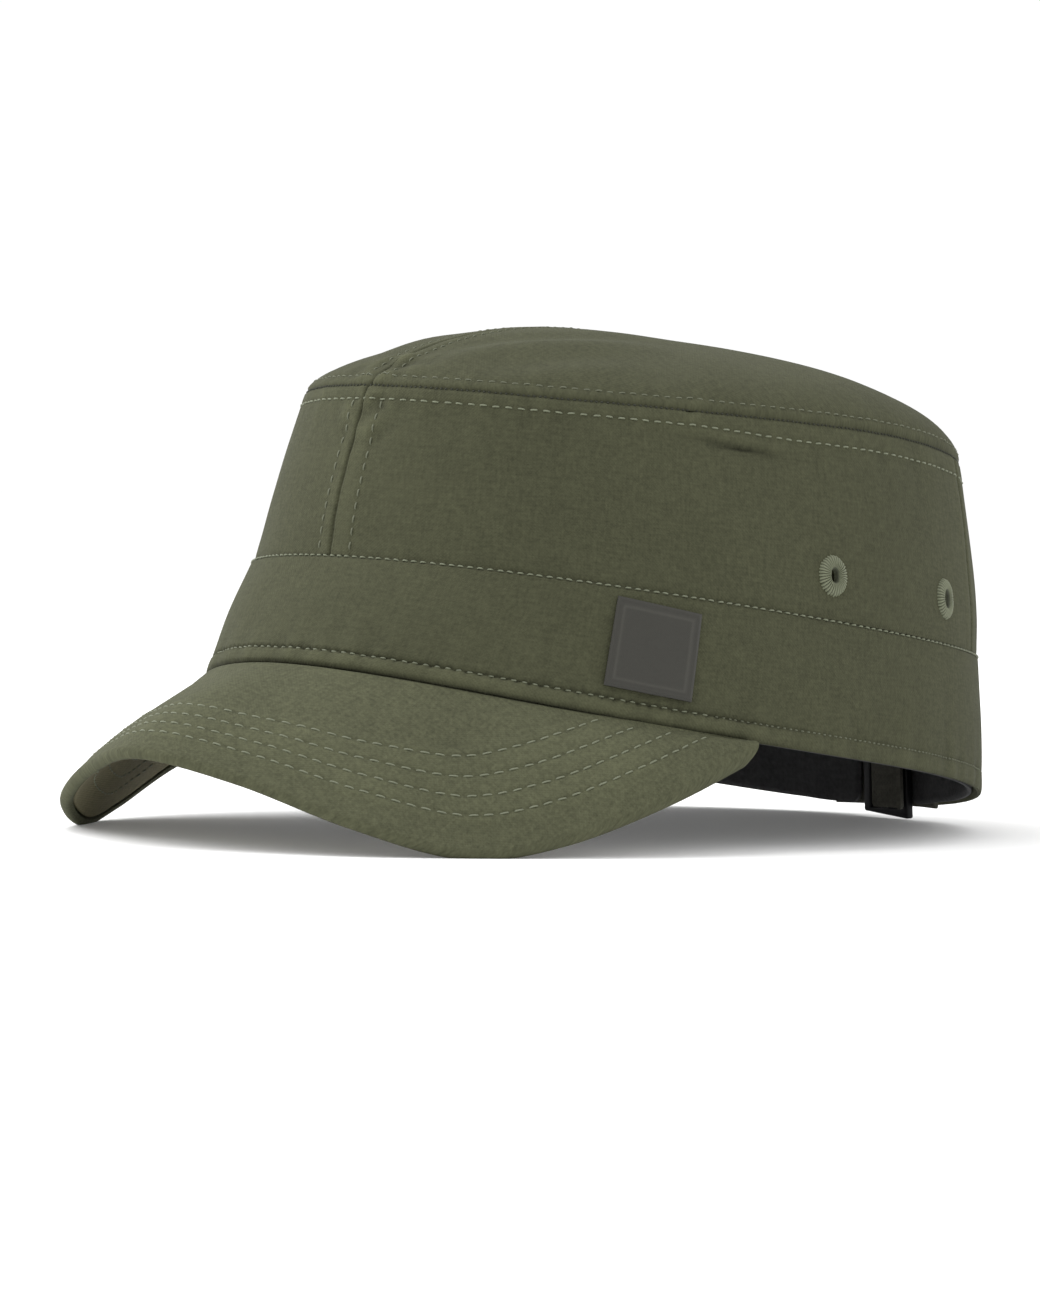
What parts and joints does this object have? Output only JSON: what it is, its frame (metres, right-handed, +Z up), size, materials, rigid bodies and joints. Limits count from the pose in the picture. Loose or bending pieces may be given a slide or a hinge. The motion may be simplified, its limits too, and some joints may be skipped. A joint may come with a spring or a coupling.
{
  "type": "military cap",
  "caption": "Low olive cloth cap with a domed top, a band with a turned hem, a curved stitched peak, sewn eyelets and an adjusting strap in a slot at the back.",
  "frame": {"origin": "on the table under the middle of the cap's box, as it lies on its peak and its slider", "axes": "+Z up, -Y out of the forehead along the peak, +X towards the wearer's left"},
  "size_m": [0.1652, 0.2476, 0.1153],
  "materials": {
    "olive_cloth": "matt woven cloth",
    "peak_cloth": "matt woven cloth, lighter than the crown",
    "lining_cloth": "matt grey woven cloth",
    "black_cloth": "matt knitted cloth",
    "strap_cloth": "matt woven tape",
    "slider_plastic": "moulded, slightly glossy",
    "label_satin": "smooth satin",
    "eyelet_thread": "glossy sewing thread"
  },
  "bodies": {
    "root": {"top_left_panel": "olive_cloth", "top_right_panel": "olive_cloth", "crown_left_panel": "olive_cloth", "crown_right_panel": "olive_cloth", "crown_back_panel": "olive_cloth", "band": "olive_cloth", "sweatband": "black_cloth", "peak": "peak_cloth", "peak_lining": "lining_cloth", "label": "label_satin", "back_strap": "strap_cloth", "strap_free_end": "strap_cloth", "strap_slider": "slider_plastic", "eyelet_left_front": "eyelet_thread", "eyelet_left_rear": "eyelet_thread", "eyelet_right_front": "eyelet_thread", "eyelet_right_rear": "eyelet_thread"}
  },
  "joints": []
}
